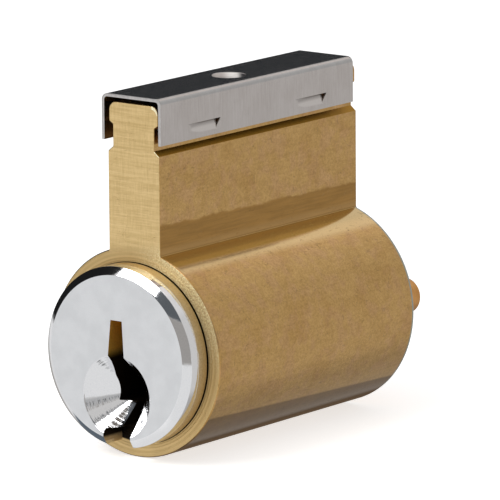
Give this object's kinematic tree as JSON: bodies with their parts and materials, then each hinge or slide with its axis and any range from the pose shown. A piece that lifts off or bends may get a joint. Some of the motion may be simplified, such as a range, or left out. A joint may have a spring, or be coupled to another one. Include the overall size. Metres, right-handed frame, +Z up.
{
  "type": "key-in-lever lock cylinder",
  "caption": "Pin tumbler lock cylinder: round brass barrel with a tall flat bible, steel pin cover, chrome-faced turning plug and rear drive bar.",
  "frame": {"origin": "on the plug's turning axis, in the plane of the shell's front face (just behind the plug's wide head)", "axes": "+Y from the key side to the tail, along the plug's axis; +Z up, from the plug's axis towards the bible and the pin cover; +X to the right as seen from the key side"},
  "size_m": [0.022, 0.0433, 0.0378],
  "materials": {
    "shell_brass": "sawn and turned brass, dull, with fine machining lines",
    "plug_brass": "turned brass, bright-plated over the face, the bevel and the front of the head's side",
    "plug_chrome": "satin face with a mirror bevel and countersink",
    "cover_steel": "satin stainless strip, cut edges bright",
    "pin_brass": "turned, bright",
    "spring_steel": "drawn wire, bright",
    "tail_brass": "warm brass, satin",
    "screw_steel": "bright zinc, turned"
  },
  "bodies": {
    "shell": {"cylinder_shell": "shell_brass", "spring_1": "spring_steel", "spring_2": "spring_steel", "spring_3": "spring_steel", "spring_4": "spring_steel", "spring_5": "spring_steel", "spring_6": "spring_steel"},
    "plug": {"plug": "plug_brass", "tail_driver": "tail_brass", "driver_screw_1": "screw_steel", "driver_screw_2": "screw_steel"},
    "cover": {"pin_cover": "cover_steel"},
    "key_pin_1": {"key_pin_1": "pin_brass"},
    "driver_pin_1": {"driver_pin_1": "pin_brass"},
    "key_pin_2": {"key_pin_2": "pin_brass"},
    "driver_pin_2": {"driver_pin_2": "pin_brass"},
    "key_pin_3": {"key_pin_3": "pin_brass"},
    "driver_pin_3": {"driver_pin_3": "pin_brass"},
    "key_pin_4": {"key_pin_4": "pin_brass"},
    "driver_pin_4": {"driver_pin_4": "pin_brass"},
    "key_pin_5": {"key_pin_5": "pin_brass"},
    "driver_pin_5": {"driver_pin_5": "pin_brass"},
    "key_pin_6": {"key_pin_6": "pin_brass"},
    "driver_pin_6": {"driver_pin_6": "pin_brass"}
  },
  "joints": [
    {"name": "plug_turn", "type": "hinge", "parent": "shell", "child": "plug", "pos_m": [0, 0, 0], "axis": [0, 1, 0], "continuous": true},
    {"name": "cover_slide", "type": "slide", "parent": "shell", "child": "cover", "axis": [0, 1, 0], "range_m": [0, 0.028]},
    {"name": "key_pin_1_slide", "type": "slide", "parent": "plug", "child": "key_pin_1", "axis": [0, 0, 1], "range_m": [-0.00215, 0]},
    {"name": "driver_pin_1_slide", "type": "slide", "parent": "shell", "child": "driver_pin_1", "axis": [0, 0, 1], "range_m": [0, 0.0035], "stiffness_N_per_m": 120, "springref_m": -0.0075, "deforming": ["spring_1"]},
    {"name": "key_pin_2_slide", "type": "slide", "parent": "plug", "child": "key_pin_2", "axis": [0, 0, 1], "range_m": [-0.00295, 0]},
    {"name": "driver_pin_2_slide", "type": "slide", "parent": "shell", "child": "driver_pin_2", "axis": [0, 0, 1], "range_m": [0, 0.0035], "stiffness_N_per_m": 120, "springref_m": -0.0075, "deforming": ["spring_2"]},
    {"name": "key_pin_3_slide", "type": "slide", "parent": "plug", "child": "key_pin_3", "axis": [0, 0, 1], "range_m": [-0.00175, 0]},
    {"name": "driver_pin_3_slide", "type": "slide", "parent": "shell", "child": "driver_pin_3", "axis": [0, 0, 1], "range_m": [0, 0.0035], "stiffness_N_per_m": 120, "springref_m": -0.0075, "deforming": ["spring_3"]},
    {"name": "key_pin_4_slide", "type": "slide", "parent": "plug", "child": "key_pin_4", "axis": [0, 0, 1], "range_m": [-0.00255, 0]},
    {"name": "driver_pin_4_slide", "type": "slide", "parent": "shell", "child": "driver_pin_4", "axis": [0, 0, 1], "range_m": [0, 0.0035], "stiffness_N_per_m": 120, "springref_m": -0.0075, "deforming": ["spring_4"]},
    {"name": "key_pin_5_slide", "type": "slide", "parent": "plug", "child": "key_pin_5", "axis": [0, 0, 1], "range_m": [-0.00135, 0]},
    {"name": "driver_pin_5_slide", "type": "slide", "parent": "shell", "child": "driver_pin_5", "axis": [0, 0, 1], "range_m": [0, 0.0035], "stiffness_N_per_m": 120, "springref_m": -0.0075, "deforming": ["spring_5"]},
    {"name": "key_pin_6_slide", "type": "slide", "parent": "plug", "child": "key_pin_6", "axis": [0, 0, 1], "range_m": [-0.00295, 0]},
    {"name": "driver_pin_6_slide", "type": "slide", "parent": "shell", "child": "driver_pin_6", "axis": [0, 0, 1], "range_m": [0, 0.0035], "stiffness_N_per_m": 120, "springref_m": -0.0075, "deforming": ["spring_6"]}
  ]
}
